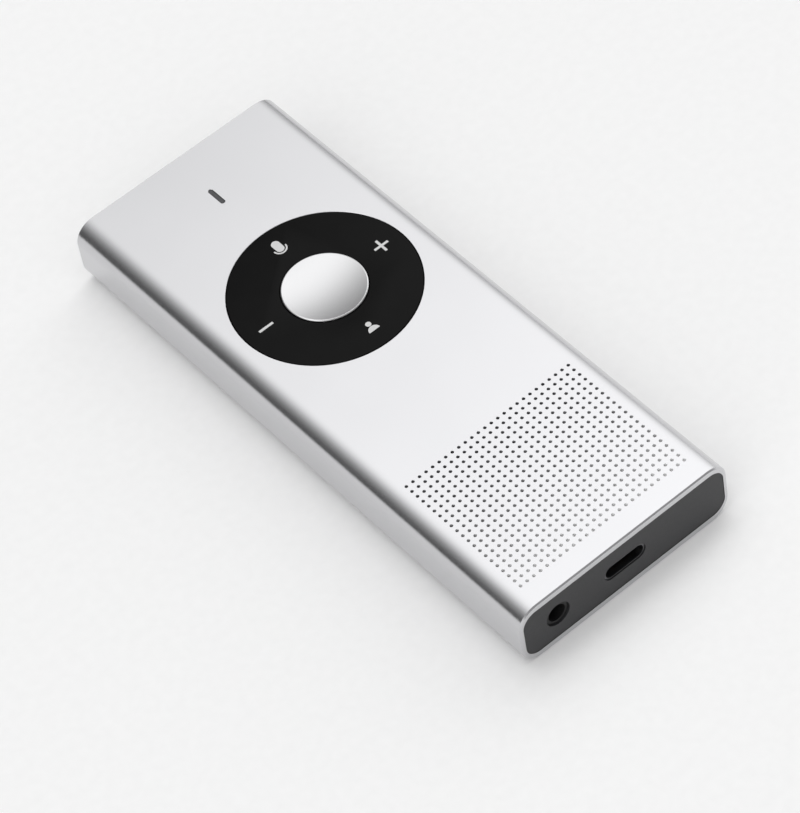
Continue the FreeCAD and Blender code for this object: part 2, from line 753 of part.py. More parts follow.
def speaker_diaphragm():
    """Roll surround with a raised plate in the middle."""
    low = SPEAKER_TOP - ROLL_DROP
    roll = speaker_outline(-ROLL_IN, low, low + ROLL_THICK)
    top = SPEAKER_TOP - CONE_PLATE_DROP
    plate_low = low + CONE_PLATE_DROP
    plate_over = cut_corner_plate(CONE_PLATE_X, CONE_PLATE_Y, CONE_PLATE_CORNER, SPEAKER_Y, plate_low, top)
    return joined([roll, plate_over])


def speaker_gasket():
    ring = speaker_outline(GASKET_OUT, SPEAKER_TOP, CEILING - MESH_THICK - 2 * MESH_GLUE)
    return ring.cut(speaker_outline(-GASKET_IN, SPEAKER_TOP - RUN_OUT, CEILING))


def speaker_contacts():
    strips = []
    y0 = SPEAKER_Y + SPEAKER_TAB_START
    y1 = SPEAKER_Y + SPEAKER_TAB_END
    for x in (-SPEAKER_TAB_X, SPEAKER_TAB_X):
        half = SPEAKER_TAB_HALF
        strips.append(box(x - half, x + half, y0, y1, SHELF_HIGH, SHELF_HIGH + SPEAKER_TAB_THICK))
    return Part.makeCompound(strips)


def dust_mesh():
    high = CEILING - MESH_GLUE
    return box(-MESH_HALF, MESH_HALF, MESH_NEAR, MESH_FAR, high - MESH_THICK, high)


# Battery
def battery():
    """Pouch cell: flat faces with bevelled long edges."""
    bevel = BATTERY_BEVEL
    half = BATTERY_HALF
    z0 = BATTERY_BOTTOM
    z1 = BATTERY_BOTTOM + BATTERY_THICK
    outline = [
        (-half + bevel, z0),
        (half - bevel, z0),
        (half, z0 + bevel),
        (half, z1 - bevel),
        (half - bevel, z1),
        (-half + bevel, z1),
        (-half, z1 - bevel),
        (-half, z0 + bevel),
    ]
    points = [Vector(x, BATTERY_NEAR, z) for x, z in outline]
    face = Part.Face(Part.makePolygon(points + points[:1]))
    return face.extrude(Vector(0, BATTERY_FAR - BATTERY_NEAR, 0))


def battery_tape():
    return box(-TAPE_HALF, TAPE_HALF, TAPE_NEAR, TAPE_FAR, BACK_WALL, BATTERY_BOTTOM)


def flat_cable(outline, left, width):
    """Flat cable drawn from its side; outline points are (y, z)."""
    points = [Vector(left, y, z) for y, z in outline]
    face = Part.Face(Part.makePolygon(points + points[:1]))
    return face.extrude(Vector(width, 0, 0))


def battery_tail():
    """Flat cable from the cell's end up to the plug on the main board."""
    z0 = BATTERY_BOTTOM + BATTERY_THICK / 2
    z1 = BOARD_BOTTOM - TAIL_UNDER_BOARD
    t = TAIL_THICK
    outline = [
        (BATTERY_FAR, z0),
        (BATTERY_FAR + 2.0, z0),
        (PLUG_Y - 1.5, z1),
        (PLUG_Y, z1),
        (PLUG_Y, z1 + t),
        (PLUG_Y - 1.6, z1 + t),
        (BATTERY_FAR + 1.9, z0 + t),
        (BATTERY_FAR, z0 + t),
    ]
    return flat_cable(outline, -TAIL_HALF, 2 * TAIL_HALF)


def battery_plug():
    return under_board(PLUG_HALF, PLUG_Y, PLUG_Y + PLUG_LENGTH, PLUG_HEIGHT)


# Ports
def port_board():
    low = PORT_BOARD_TOP - BOARD_THICK
    near = CAP_INNER + PORT_BOARD_GAP
    board = box(PORT_BOARD_LEFT, PORT_BOARD_RIGHT, near, PORT_BOARD_FAR, low, PORT_BOARD_TOP)
    reach = JACK_HALF_X + JACK_CONTACT
    far = JACK_BACK + PORT_BOARD_GAP
    notch = box(JACK_X - reach, JACK_X + reach, CAP_INNER, far, low - RUN_OUT, PORT_BOARD_TOP + RUN_OUT)
    return board.cut(notch)


def port_flex():
    """Flat cable from the port board, under the speaker, up to the main board."""
    z0 = PORT_BOARD_TOP
    z1 = BOARD_BOTTOM
    t = FLEX_THICK
    outline = [
        (-46.8, z0),
        (-25.4, z0),
        (-21.4, z1 - t),
        (-18.6, z1 - t),
        (-18.6, z1),
        (-21.5, z1),
        (-25.5, z0 + t),
        (-46.8, z0 + t),
    ]
    return flat_cable(outline, FLEX_LEFT, FLEX_WIDTH)


def usb_shell():
    shell = usb_mouth(0, SHELL_MOUTH, SHELL_MOUTH + USB_LENGTH)
    return shell.cut(usb_mouth(-USB_WALL, SHELL_MOUTH - RUN_OUT, SHELL_BACK))


def tongue_bar(near, far, half_z):
    return box(-TONGUE_HALF, TONGUE_HALF, near, far, PORT_Z - half_z, PORT_Z + half_z)


def usb_tongue():
    base = tongue_bar(SHELL_BACK - TONGUE_BASE, SHELL_BACK, TONGUE_BASE)
    blade = tongue_bar(SHELL_BACK - TONGUE_REACH, SHELL_BACK - TONGUE_BASE / 2, TONGUE_THICK / 2)
    return joined([base, blade])


def usb_contacts():
    near = SHELL_BACK - TONGUE_REACH + CONTACT_SETBACK
    far = SHELL_BACK - TONGUE_BASE
    high = TONGUE_THICK / 2 + CONTACT_HEIGHT
    half = CONTACT_WIDTH / 2
    strips = []
    for index in range(CONTACT_COUNT):
        x = (index - (CONTACT_COUNT - 1) / 2) * CONTACT_PITCH
        strips.append(box(x - half, x + half, near, far, PORT_Z + TONGUE_THICK / 2, PORT_Z + high))
        strips.append(box(x - half, x + half, near, far, PORT_Z - high, PORT_Z - TONGUE_THICK / 2))
    return Part.makeCompound(strips)


def jack_body():
    left = JACK_X - JACK_HALF_X
    right = JACK_X + JACK_HALF_X
    block = box(left, right, CAP_INNER, JACK_BACK, PORT_Z - JACK_HALF, PORT_Z + JACK_HALF)
    nose = rod_y(JACK_X, JACK_MOUTH, CAP_INNER + RUN_IN, PORT_Z, JACK_NOSE_R)
    bore = rod_y(JACK_X, JACK_MOUTH - RUN_OUT, JACK_MOUTH + JACK_BORE_DEPTH, PORT_Z, JACK_BORE_R)
    return joined([block, nose]).cut(bore)


def jack_contacts():
    """Solder legs and leaf springs along the socket's inner side."""
    x0 = JACK_X + JACK_HALF_X
    strips = []
    for y in JACK_CONTACT_YS:
        y0 = y - JACK_CONTACT_HALF
        y1 = y + JACK_CONTACT_HALF
        strips.append(box(x0, x0 + JACK_CONTACT, y0, y1, PORT_BOARD_TOP, PORT_Z + JACK_CONTACT_RISE))
    return Part.makeCompound(strips)


PIECES = {
    "sleeve": sleeve,
    "end_cap_ports": end_cap_ports,
    "end_cap_far": end_cap_far,
    "chassis": chassis,
    "battery": battery,
    "battery_tape": battery_tape,
    "battery_tail": battery_tail,
    "battery_plug": battery_plug,
    "main_board": main_board,
    "processor": processor,
    "memory_chip": memory_chip,
    "shield_can": shield_can,
    "radio_module": radio_module,
    "antenna": antenna,
    "status_led": status_led,
    "status_light_pipe": status_light_pipe,
    "microphone": microphone,
    "microphone_gasket": microphone_gasket,
    "keypad_frame": keypad_frame,
    "board_screws": board_screws,
    "rocker_domes": rocker_domes,
    "centre_dome": centre_dome,
    "speaker_basket": speaker_basket,
    "speaker_magnet": speaker_magnet,
    "speaker_diaphragm": speaker_diaphragm,
    "speaker_gasket": speaker_gasket,
    "speaker_contacts": speaker_contacts,
    "dust_mesh": dust_mesh,
    "port_board": port_board,
    "port_flex": port_flex,
    "usb_shell": usb_shell,
    "usb_tongue": usb_tongue,
    "usb_contacts": usb_contacts,
    "jack_body": jack_body,
    "jack_contacts": jack_contacts,
    "dial_gimbal": dial_gimbal,
    "dial_ring": dial_ring,
    "centre_button": centre_button,
    "button_plunger": button_plunger,
}

os.makedirs("parts", exist_ok=True)
for name, make in PIECES.items():
    make().exportStep("parts/" + name + ".step")
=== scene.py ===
import math

import bmesh
import bpy
from mathutils import Matrix, Vector


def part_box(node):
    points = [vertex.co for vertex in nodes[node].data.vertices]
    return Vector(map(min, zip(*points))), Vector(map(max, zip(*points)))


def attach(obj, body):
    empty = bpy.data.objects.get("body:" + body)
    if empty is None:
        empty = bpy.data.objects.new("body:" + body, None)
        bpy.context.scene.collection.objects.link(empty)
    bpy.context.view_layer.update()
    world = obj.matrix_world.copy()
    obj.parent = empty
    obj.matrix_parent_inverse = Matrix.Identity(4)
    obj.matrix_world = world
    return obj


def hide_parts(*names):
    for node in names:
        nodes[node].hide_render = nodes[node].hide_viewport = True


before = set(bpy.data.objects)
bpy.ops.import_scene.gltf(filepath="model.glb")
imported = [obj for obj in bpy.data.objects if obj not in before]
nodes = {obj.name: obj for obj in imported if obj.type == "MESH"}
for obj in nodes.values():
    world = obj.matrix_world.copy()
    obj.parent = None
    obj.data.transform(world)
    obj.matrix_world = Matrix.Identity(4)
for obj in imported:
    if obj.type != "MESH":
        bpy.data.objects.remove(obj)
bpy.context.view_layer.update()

# Sleeve
# One length of extruded aluminium, cut square at both ends, with the dial opening, the light slot
# and the grille machined through its face, then bead blasted and anodised clear.
MM = 0.001
SLEEVE_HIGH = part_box("sleeve")[1]
HALF_WIDTH = SLEEVE_HIGH.x
HALF_LENGTH = SLEEVE_HIGH.y
THICK = SLEEVE_HIGH.z
CORNER_R = 4.0 * MM
INNER_R = 2.9 * MM
SIDE_WALL = 0.77 * MM
CEILING = THICK - 1.36 * MM
FLOOR = 1.38 * MM
CORNER_STEPS = 14
END_CHAMFER = 0.25 * MM
EDGE_BREAK = 0.06 * MM
SUPPORT = 0.05 * MM
FLAT_AREA = 300 * MM ** 2

PITCH = 1.45 * MM
COLUMNS = 26
ROWS = 21
FIRST_ROW_Y = -26.5 * MM
HOLE_R = 0.3 * MM
HOLE_SIDES = 12
HOLE_BREAK = 0.03 * MM
PIT_DEPTH = 0.9 * MM
PIT_POINT = 0.2 * MM
TOUCH = 0.0001 * MM
SPEAKER_Y = -35.2 * MM
CONE_HALF_X = 14.7 * MM
CONE_HALF_Y = 7.5 * MM

DIAL_Y = 17.1 * MM
OPENING_R = 17.5 * MM
SLOT_Y = 47.6 * MM
SLOT_R = 0.435 * MM
SLOT_HALF_LENGTH = 2.175 * MM
OPENING_SIDES = 96
SLOT_SIDES = 24


def linear(text):
    """Turns an sRGB hex colour into the linear RGBA that a shader takes."""
    channels = []
    for start in (0, 2, 4):
        value = int(text[start:start + 2], 16) / 255
        channels.append(value / 12.92 if value <= 0.04045 else ((value + 0.055) / 1.055) ** 2.4)
    return (*channels, 1.0)


def add(tree, kind, inputs=None, **settings):
    """Adds a node with its settings; an input is given a value, or linked from another socket."""
    node = tree.nodes.new(kind)
    for name, value in settings.items():
        setattr(node, name, value)
    for name, value in (inputs or {}).items():
        if isinstance(value, bpy.types.NodeSocket):
            tree.links.new(value, node.inputs[name])
        else:
            node.inputs[name].default_value = value
    return node


def new_material(name):
    """An empty node material; the section that makes it adds every node."""
    material = bpy.data.materials.new(name)
    material.use_nodes = True
    material.node_tree.nodes.clear()
    return material, material.node_tree


def new_piece(name, bm, materials, sharp_deg=30):
    """Turns a bmesh into a smooth-shaded object with sharp edges past the given angle."""
    mesh = bpy.data.meshes.new(name)
    bm.to_mesh(mesh)
    bm.free()
    for material in materials:
        mesh.materials.append(material)
    mesh.shade_smooth()
    mesh.set_sharp_from_angle(angle=math.radians(sharp_deg))
    piece = bpy.data.objects.new(name, mesh)
    bpy.context.scene.collection.objects.link(piece)
    return piece


# The blasted and anodised face: a satin metal whose fine grain breaks the highlights up softly;
# the clear oxide takes about a third of the light.
aluminium, tree = new_material("bead_blasted_anodised_aluminium")
place = add(tree, "ShaderNodeTexCoord").outputs["Object"]
GRIT = 0.16 * MM
GRIT_DEPTH = 0.01 * MM
DRIFT = 22 * MM
grain = add(tree, "ShaderNodeTexNoise", {"Vector": place, "Scale": 1 / GRIT, "Detail": 3.0, "Roughness": 0.6})
drift = add(tree, "ShaderNodeTexNoise", {"Vector": place, "Scale": 1 / DRIFT, "Detail": 2.0})
tone = add(tree, "ShaderNodeMix", {"Factor": drift.outputs["Fac"], "A": linear("C9C9CB"), "B": linear("CFCFD1")},
           data_type="RGBA")
rough = add(tree, "ShaderNodeMapRange", {"Value": grain.outputs["Fac"], "To Min": 0.18, "To Max": 0.25})
bump = add(tree, "ShaderNodeBump", {"Height": grain.outputs["Fac"], "Strength": 0.12, "Distance": GRIT_DEPTH})
metal = add(tree, "ShaderNodeBsdfPrincipled", {
    "Base Color": tone.outputs["Result"],
    "Metallic": 1.0,
    "Roughness": rough.outputs["Result"],
    "Normal": bump.outputs["Normal"],
})
add(tree, "ShaderNodeOutputMaterial", {"Surface": metal.outputs["BSDF"]})

# Inside the drilled holes: a dull blasted bore whose colour is painted light and shade: painted dark at the far
# rows and painted pale, near white, at the near rows, standing in for the light that gets into the holes.
bore_painted_light, tree = new_material("drilled_bore_painted_light_and_shade")
place = add(tree, "ShaderNodeTexCoord").outputs["Object"]
axes = add(tree, "ShaderNodeSeparateXYZ", {"Vector": place})
along = add(tree, "ShaderNodeMapRange", {
    "Value": axes.outputs["Y"],
    "From Min": FIRST_ROW_Y,
    "From Max": FIRST_ROW_Y - (ROWS - 1) * PITCH,
})
# Painted shade and light along the rows: the bore's base colour runs from dark at the first row to near white at
# the last.
shade = add(tree, "ShaderNodeMix", {
    "Factor": along.outputs["Result"],
    "A": linear("77777A"),
    "B": linear("F6F6F6"),
}, data_type="RGBA")
metal = add(tree, "ShaderNodeBsdfPrincipled", {
    "Base Color": shade.outputs["Result"],
    "Metallic": 0.0,
    "Roughness": 0.7,
})
add(tree, "ShaderNodeOutputMaterial", {"Surface": metal.outputs["BSDF"]})


def bar_wall(bm, half_x, low, high, radius, half_y):
    """Wall of a rounded bar along Y; returns the edges round its near end and round its far end."""
    before = set(bm.edges)
    corners = [bm.verts.new((x, -half_y, z)) for x, z in
               ((-half_x, low), (half_x, low), (half_x, high), (-half_x, high))]
    bm.faces.new(corners)
    bmesh.ops.bevel(bm, geom=corners, offset=radius, offset_type="OFFSET", segments=CORNER_STEPS,
                    profile=0.5, affect="VERTICES", material=-1)
    near = [edge for edge in bm.edges if edge not in before]
    bmesh.ops.delete(bm, geom=near[0].link_faces[:], context="FACES_ONLY")
    return near, grow_wall(bm, near, (0, 2 * half_y, 0))[0]


def grow_wall(bm, edges, step):
    """Draws a wall out from a ring of edges by one step; returns the new ring's edges and vertices."""
    grown = bmesh.ops.extrude_edge_only(bm, edges=edges)["geom"]
    verts = [item for item in grown if isinstance(item, bmesh.types.BMVert)]
    bmesh.ops.translate(bm, verts=verts, vec=step)
    rim = [item for item in grown if isinstance(item, bmesh.types.BMEdge)
           and all(vert in verts for vert in item.verts)]
    return rim, verts


def fill_plane(bm, axis, level):
    """Closes the flat between all the open edges that lie at one level of an axis."""
    rim = [edge for edge in bm.edges if len(edge.link_faces) < 2
           and all(abs(getattr(vert.co, axis) - level) < TOUCH for vert in edge.verts)]
    bmesh.ops.triangle_fill(bm, use_beauty=True, use_dissolve=False, edges=rim)


def ring(bm, sides, radius, x, y, z, turn=0.0, stretch=0.0):
    """Closed ring of edges about x, y; stretch pulls its two halves apart along Y."""
    before = set(bm.edges)
    place = Matrix.Translation((x, y, z)) @ Matrix.Rotation(turn, 4, "Z")
    verts = bmesh.ops.create_circle(bm, cap_ends=False, segments=sides, radius=radius, matrix=place)["verts"]
    for vert in verts:
        vert.co.y += math.copysign(stretch, vert.co.y - y)
    return [edge for edge in bm.edges if edge not in before]


def bridge(bm, rings):
    """Skins one ring to the next, all down the list."""
    for first, second in zip(rings, rings[1:]):
        bmesh.ops.bridge_loops(bm, edges=first + second)


def square_ring(bm, z):
    """Outline of one grille pitch, each side cut in three so that it bridges to a hole."""
    before = set(bm.edges)
    sides = ring(bm, 4, PITCH / math.sqrt(2), 0, 0, z, math.radians(45))
    bmesh.ops.subdivide_edges(bm, edges=sides, cuts=HOLE_SIDES // 4 - 1)
    return [edge for edge in bm.edges if edge not in before]


def grille_cell(through):
    """One pitch of the face with its hole, drilled through or stopped at a drill point."""
    bm = bmesh.new()
    turn = math.pi / HOLE_SIDES
    depth = CEILING if through else THICK - PIT_DEPTH
    face = square_ring(bm, THICK)
    mouth = ring(bm, HOLE_SIDES, HOLE_R + HOLE_BREAK, 0, 0, THICK, turn)
    neck = ring(bm, HOLE_SIDES, HOLE_R, 0, 0, THICK - HOLE_BREAK, turn)
    foot = ring(bm, HOLE_SIDES, HOLE_R, 0, 0, depth, turn)
    under = square_ring(bm, CEILING)
    bridge(bm, [face, mouth, neck, foot])
    if through:
        bridge(bm, [foot, under])
    else:
        grown = bmesh.ops.extrude_edge_only(bm, edges=foot)["geom"]
        tip = [item for item in grown if isinstance(item, bmesh.types.BMVert)]
        bmesh.ops.pointmerge(bm, verts=tip, merge_co=(0, 0, depth - PIT_POINT))
        bmesh.ops.edgeloop_fill(bm, edges=under)
    for item in bm.faces:
        item.material_index = int(CEILING + TOUCH < item.calc_center_median().z < THICK - HOLE_BREAK)
    mesh = bpy.data.meshes.new("grille_cell")
    bm.to_mesh(mesh)
    bm.free()
    return mesh


bm = bmesh.new()
ends = bar_wall(bm, HALF_WIDTH, 0, THICK, CORNER_R, HALF_LENGTH - END_CHAMFER)
for edges, way in zip(ends, (-1, 1)):
    verts = grow_wall(bm, edges, (0, way * END_CHAMFER, 0))[1]
    bmesh.ops.scale(bm, verts=verts, vec=(1 - END_CHAMFER / HALF_WIDTH, 1, 1 - 2 * END_CHAMFER / THICK),
                    space=Matrix.Translation((0, 0, -THICK / 2)))
bar_wall(bm, HALF_WIDTH - SIDE_WALL, FLOOR, CEILING, INNER_R, HALF_LENGTH)
for end in (-HALF_LENGTH, HALF_LENGTH):
    fill_plane(bm, "y", end)
flats = [face for face in bm.faces if face.calc_area() > FLAT_AREA]
bmesh.ops.inset_individual(bm, faces=flats, thickness=SUPPORT, use_even_offset=True)
levels = (THICK, CEILING)
drilled = [face for face in flats if min(abs(face.calc_center_median().z - level) for level in levels) < TOUCH]
bmesh.ops.delete(bm, geom=drilled, context="FACES_ONLY")

cells = {through: grille_cell(through) for through in (True, False)}
for row in range(ROWS):
    y = FIRST_ROW_Y - row * PITCH
    for column in range(COLUMNS):
        x = (column - (COLUMNS - 1) / 2) * PITCH
        cell = cells[abs(x) < CONE_HALF_X and abs(y - SPEAKER_Y) < CONE_HALF_Y]
        cell.transform(Matrix.Translation((x, y, 0)))
        bm.from_mesh(cell)
        cell.transform(Matrix.Translation((-x, -y, 0)))
for cell in cells.values():
    bpy.data.meshes.remove(cell)

for sides, half_x, half_y, middle in (
    (OPENING_SIDES, OPENING_R, OPENING_R, DIAL_Y),
    (SLOT_SIDES, SLOT_R, SLOT_HALF_LENGTH, SLOT_Y),
):
    edges = ring(bm, sides, half_x, 0, middle, CEILING, math.pi / sides, half_y - half_x)
    neck = grow_wall(bm, edges, (0, 0, THICK - EDGE_BREAK - CEILING))[0]
    verts = grow_wall(bm, neck, (0, 0, EDGE_BREAK))[1]
    bmesh.ops.scale(bm, verts=verts, vec=(1 + EDGE_BREAK / half_x, 1 + EDGE_BREAK / half_y, 1),
                    space=Matrix.Translation((0, -middle, 0)))
bmesh.ops.remove_doubles(bm, verts=bm.verts, dist=TOUCH)
for level in levels:
    fill_plane(bm, "z", level)
bmesh.ops.recalc_face_normals(bm, faces=bm.faces)
# The hole walls take the second material, the bore with its painted light and shade.
sleeve = new_piece("sleeve_extrusion", bm, [aluminium, bore_painted_light])
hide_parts("sleeve")
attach(sleeve, "housing")

# End caps
# Dark moulded plugs in both ends of the sleeve; their side arms reach in to the chassis.
# The near one lets the two sockets through, the far one lets sound into the microphone.
CLOUD = 25 * MM
GLOSS_SPREAD = 0.06


def moulded_plastic(name, dark, pale, roughness, texture):
    """Moulded ABS from a spark-eroded tool: an even dark satin with a fine pebbled skin."""
    material, tree = new_material(name)
    place = add(tree, "ShaderNodeTexCoord").outputs["Object"]
    pebble = add(tree, "ShaderNodeTexNoise", {"Vector": place, "Scale": 1 / texture, "Detail": 2.0})
    cloud = add(tree, "ShaderNodeTexNoise", {"Vector": place, "Scale": 1 / CLOUD, "Detail": 1.0})
    tone = add(tree, "ShaderNodeMix", {"Factor": cloud.outputs["Fac"], "A": linear(dark), "B": linear(pale)},
               data_type="RGBA")
    rough = add(tree, "ShaderNodeMapRange", {
        "Value": pebble.outputs["Fac"],
        "To Min": roughness - GLOSS_SPREAD,
        "To Max": roughness + GLOSS_SPREAD,
    })
    bump = add(tree, "ShaderNodeBump", {
        "Height": pebble.outputs["Fac"],
        "Strength": 0.25,
        "Distance": texture / 10,
    })
    plastic = add(tree, "ShaderNodeBsdfPrincipled", {
        "Base Color": tone.outputs["Result"],
        "Roughness": rough.outputs["Result"],
        "Normal": bump.outputs["Normal"],
    })
    add(tree, "ShaderNodeOutputMaterial", {"Surface": plastic.outputs["BSDF"]})
    return material


def finish_node(name, material):
    """Gives a CAD node, whose shape is right, its finished material."""
    for slot in nodes[name].material_slots:
        slot.material = material


cap_plastic = moulded_plastic("moulded_dark_grey_abs", "28282A", "303032", 0.5, 0.25 * MM)
finish_node("end_cap_ports", cap_plastic)
finish_node("end_cap_far", cap_plastic)

# Chassis
# The black glass-filled tray between the end caps; the boards and the speaker are screwed to it.
chassis_plastic = moulded_plastic("glass_filled_black_nylon", "161617", "222224", 0.6, 0.4 * MM)
for name in ("chassis", "keypad_frame", "speaker_basket", "button_plunger"):
    finish_node(name, chassis_plastic)

# Battery
# A pouch cell in aluminium laminate, held to the back by foam tape, with a flat tail and a white plug.
foil, tree = new_material("battery_pouch_laminate")
place = add(tree, "ShaderNodeTexCoord").outputs["Object"]
CRINKLE = 2.4 * MM
crinkle = add(tree, "ShaderNodeTexNoise", {"Vector": place, "Scale": 1 / CRINKLE, "Detail": 4.0})
sheen = add(tree, "ShaderNodeMapRange", {"Value": crinkle.outputs["Fac"], "To Min": 0.25, "To Max": 0.4})
dent = add(tree, "ShaderNodeBump", {"Height": crinkle.outputs["Fac"], "Strength": 0.3, "Distance": 0.1 * MM})
laminate = add(tree, "ShaderNodeBsdfPrincipled", {
    "Base Color": linear("C9CBCE"),
    "Metallic": 1.0,
    "Roughness": sheen.outputs["Result"],
    "Normal": dent.outputs["Normal"],
})
add(tree, "ShaderNodeOutputMaterial", {"Surface": laminate.outputs["BSDF"]})
finish_node("battery", foil)

# Foam: open cells that drink the light.
foam, tree = new_material("open_cell_foam")
place = add(tree, "ShaderNodeTexCoord").outputs["Object"]
CELL = 0.35 * MM
cells = add(tree, "ShaderNodeTexVoronoi", {"Vector": place, "Scale": 1 / CELL})
tone = add(tree, "ShaderNodeMix", {
    "Factor": cells.outputs["Distance"],
    "A": linear("1C1C1E"),
    "B": linear("38383A"),
}, data_type="RGBA")
pores = add(tree, "ShaderNodeBump", {"Height": cells.outputs["Distance"], "Strength": 0.6, "Distance": 0.1 * MM})
soft = add(tree, "ShaderNodeBsdfPrincipled", {
    "Base Color": tone.outputs["Result"],
    "Roughness": 0.95,
    "Normal": pores.outputs["Normal"],
})
add(tree, "ShaderNodeOutputMaterial", {"Surface": soft.outputs["BSDF"]})
for name in ("battery_tape", "speaker_gasket", "microphone_gasket"):
    finish_node(name, foam)

# Polyimide film: amber flat cable with its copper tracks showing through as stripes.
film, tree = new_material("polyimide_flat_cable")
place = add(tree, "ShaderNodeTexCoord").outputs["Object"]
TRACK = 0.5 * MM
BAND = math.tau / 20  # how far apart a wave texture's bands lie at a scale of 1
tracks = add(tree, "ShaderNodeTexWave", {"Vector": place, "Scale": BAND / TRACK}, bands_direction="X")
tone = add(tree, "ShaderNodeMix", {"Factor": tracks.outputs["Fac"], "A": linear("7A4A16"), "B": linear("B9762C")},
           data_type="RGBA")
cable = add(tree, "ShaderNodeBsdfPrincipled", {"Base Color": tone.outputs["Result"], "Roughness": 0.35})
add(tree, "ShaderNodeOutputMaterial", {"Surface": cable.outputs["BSDF"]})
for name in ("battery_tail", "port_flex", "antenna"):
    finish_node(name, film)

finish_node("battery_plug", moulded_plastic("moulded_white_nylon", "D8D8D4", "E4E4E0", 0.45, 0.3 * MM))

# Boards
# The main board over the battery and the small one behind the sockets: glass epoxy under green lacquer,
# with the processor, memory, radio and shield soldered on.
board, tree = new_material("solder_masked_glass_epoxy")
place = add(tree, "ShaderNodeTexCoord").outputs["Object"]
WEAVE = 0.5 * MM
warp = add(tree, "ShaderNodeTexWave", {"Vector": place, "Scale": BAND / WEAVE}, bands_direction="X")
weft = add(tree, "ShaderNodeTexWave", {"Vector": place, "Scale": BAND / WEAVE}, bands_direction="Y")
cloth = add(tree, "ShaderNodeMath", {0: warp.outputs["Fac"], 1: weft.outputs["Fac"]}, operation="MULTIPLY")
tone = add(tree, "ShaderNodeMix", {"Factor": cloth.outputs["Value"], "A": linear("123A22"), "B": linear("1C5432")},
           data_type="RGBA")
lacquer = add(tree, "ShaderNodeBsdfPrincipled", {"Base Color": tone.outputs["Result"], "Roughness": 0.3})
add(tree, "ShaderNodeOutputMaterial", {"Surface": lacquer.outputs["BSDF"]})
finish_node("main_board", board)
finish_node("port_board", board)

chip_epoxy = moulded_plastic("chip_moulding_epoxy", "1B1C1E", "26272A", 0.55, 0.12 * MM)
finish_node("processor", chip_epoxy)
finish_node("memory_chip", chip_epoxy)


def plated_metal(name, dark, pale, roughness, grain):
    """Plated or rolled sheet metal: a clean shine clouded by fine rolling grain."""
    material, tree = new_material(name)
    place = add(tree, "ShaderNodeTexCoord").outputs["Object"]
    cloud = add(tree, "ShaderNodeTexNoise", {"Vector": place, "Scale": 1 / grain, "Detail": 3.0})
    tone = add(tree, "ShaderNodeMix", {"Factor": cloud.outputs["Fac"], "A": linear(dark), "B": linear(pale)},
               data_type="RGBA")
    rough = add(tree, "ShaderNodeMapRange", {
        "Value": cloud.outputs["Fac"],
        "To Min": roughness - 0.05,
        "To Max": roughness + 0.05,
    })
    metal = add(tree, "ShaderNodeBsdfPrincipled", {
        "Base Color": tone.outputs["Result"],
        "Metallic": 1.0,
        "Roughness": rough.outputs["Result"],
    })
    add(tree, "ShaderNodeOutputMaterial", {"Surface": metal.outputs["BSDF"]})
    return material


tinned = plated_metal("tinned_steel_sheet", "B4B6B8", "CDCED0", 0.32, 0.5 * MM)
for name in ("shield_can", "radio_module", "microphone"):
    finish_node(name, tinned)
finish_node("board_screws", plated_metal("black_zinc_screw", "4A4A4C", "5C5C5E", 0.35, 0.2 * MM))
spring = plated_metal("stainless_spring_steel", "BEBFC1", "D2D3D4", 0.25, 0.3 * MM)
for name in ("rocker_domes", "centre_dome", "dial_gimbal"):
    finish_node(name, spring)

# Status light
# A small lamp on the board under a smoked acrylic window that fills the slot in the face.
finish_node("status_led", moulded_plastic("lamp_resin", "CFCFBE", "E2E2D2", 0.3, 0.15 * MM))

# The window: smoked acrylic, a dark grey with a weak shine.
window, tree = new_material("smoked_acrylic_window")
place = add(tree, "ShaderNodeTexCoord").outputs["Object"]
HAZE = 0.6 * MM
haze = add(tree, "ShaderNodeTexNoise", {"Vector": place, "Scale": 1 / HAZE, "Detail": 2.0})
tone = add(tree, "ShaderNodeMix", {"Factor": haze.outputs["Fac"], "A": linear("444446"), "B": linear("505052")},
           data_type="RGBA")
acrylic = add(tree, "ShaderNodeBsdfPrincipled", {
    "Base Color": tone.outputs["Result"],
    "Roughness": 0.3,
    "Specular IOR Level": 0.3,
})
add(tree, "ShaderNodeOutputMaterial", {"Surface": acrylic.outputs["BSDF"]})
finish_node("status_light_pipe", window)

# Speaker
# A flat speaker with a cone of grey film, behind a woven dust mesh glued under the grille.
finish_node("speaker_magnet", plated_metal("nickel_plated_magnet", "A8A8A6", "BEBEBC", 0.28, 0.4 * MM))
finish_node("speaker_diaphragm", moulded_plastic("pressed_cone_film", "2C2C2E", "3A3A3C", 0.4, 0.3 * MM))
gold = plated_metal("gold_flashed_contact", "C79A3E", "DDB45A", 0.25, 0.2 * MM)
for name in ("speaker_contacts", "usb_contacts", "jack_contacts"):
    finish_node(name, gold)

# The dust mesh: over-and-under threads, dark, seen only through the open holes.
mesh_cloth, tree = new_material("woven_polyester_dust_mesh")
place = add(tree, "ShaderNodeTexCoord").outputs["Object"]
THREAD = 0.12 * MM
warp = add(tree, "ShaderNodeTexWave", {"Vector": place, "Scale": BAND / THREAD}, bands_direction="X")
weft = add(tree, "ShaderNodeTexWave", {"Vector": place, "Scale": BAND / THREAD}, bands_direction="Y")
over = add(tree, "ShaderNodeMath", {0: warp.outputs["Fac"], 1: weft.outputs["Fac"]}, operation="MAXIMUM")
tone = add(tree, "ShaderNodeMix", {"Factor": over.outputs["Value"], "A": linear("0C0C0D"), "B": linear("2E2E30")},
           data_type="RGBA")
relief = add(tree, "ShaderNodeBump", {"Height": over.outputs["Value"], "Strength": 0.5, "Distance": 0.03 * MM})
thread = add(tree, "ShaderNodeBsdfPrincipled", {
    "Base Color": tone.outputs["Result"],
    "Roughness": 0.8,
    "Normal": relief.outputs["Normal"],
})
add(tree, "ShaderNodeOutputMaterial", {"Surface": thread.outputs["BSDF"]})
finish_node("dust_mesh", mesh_cloth)

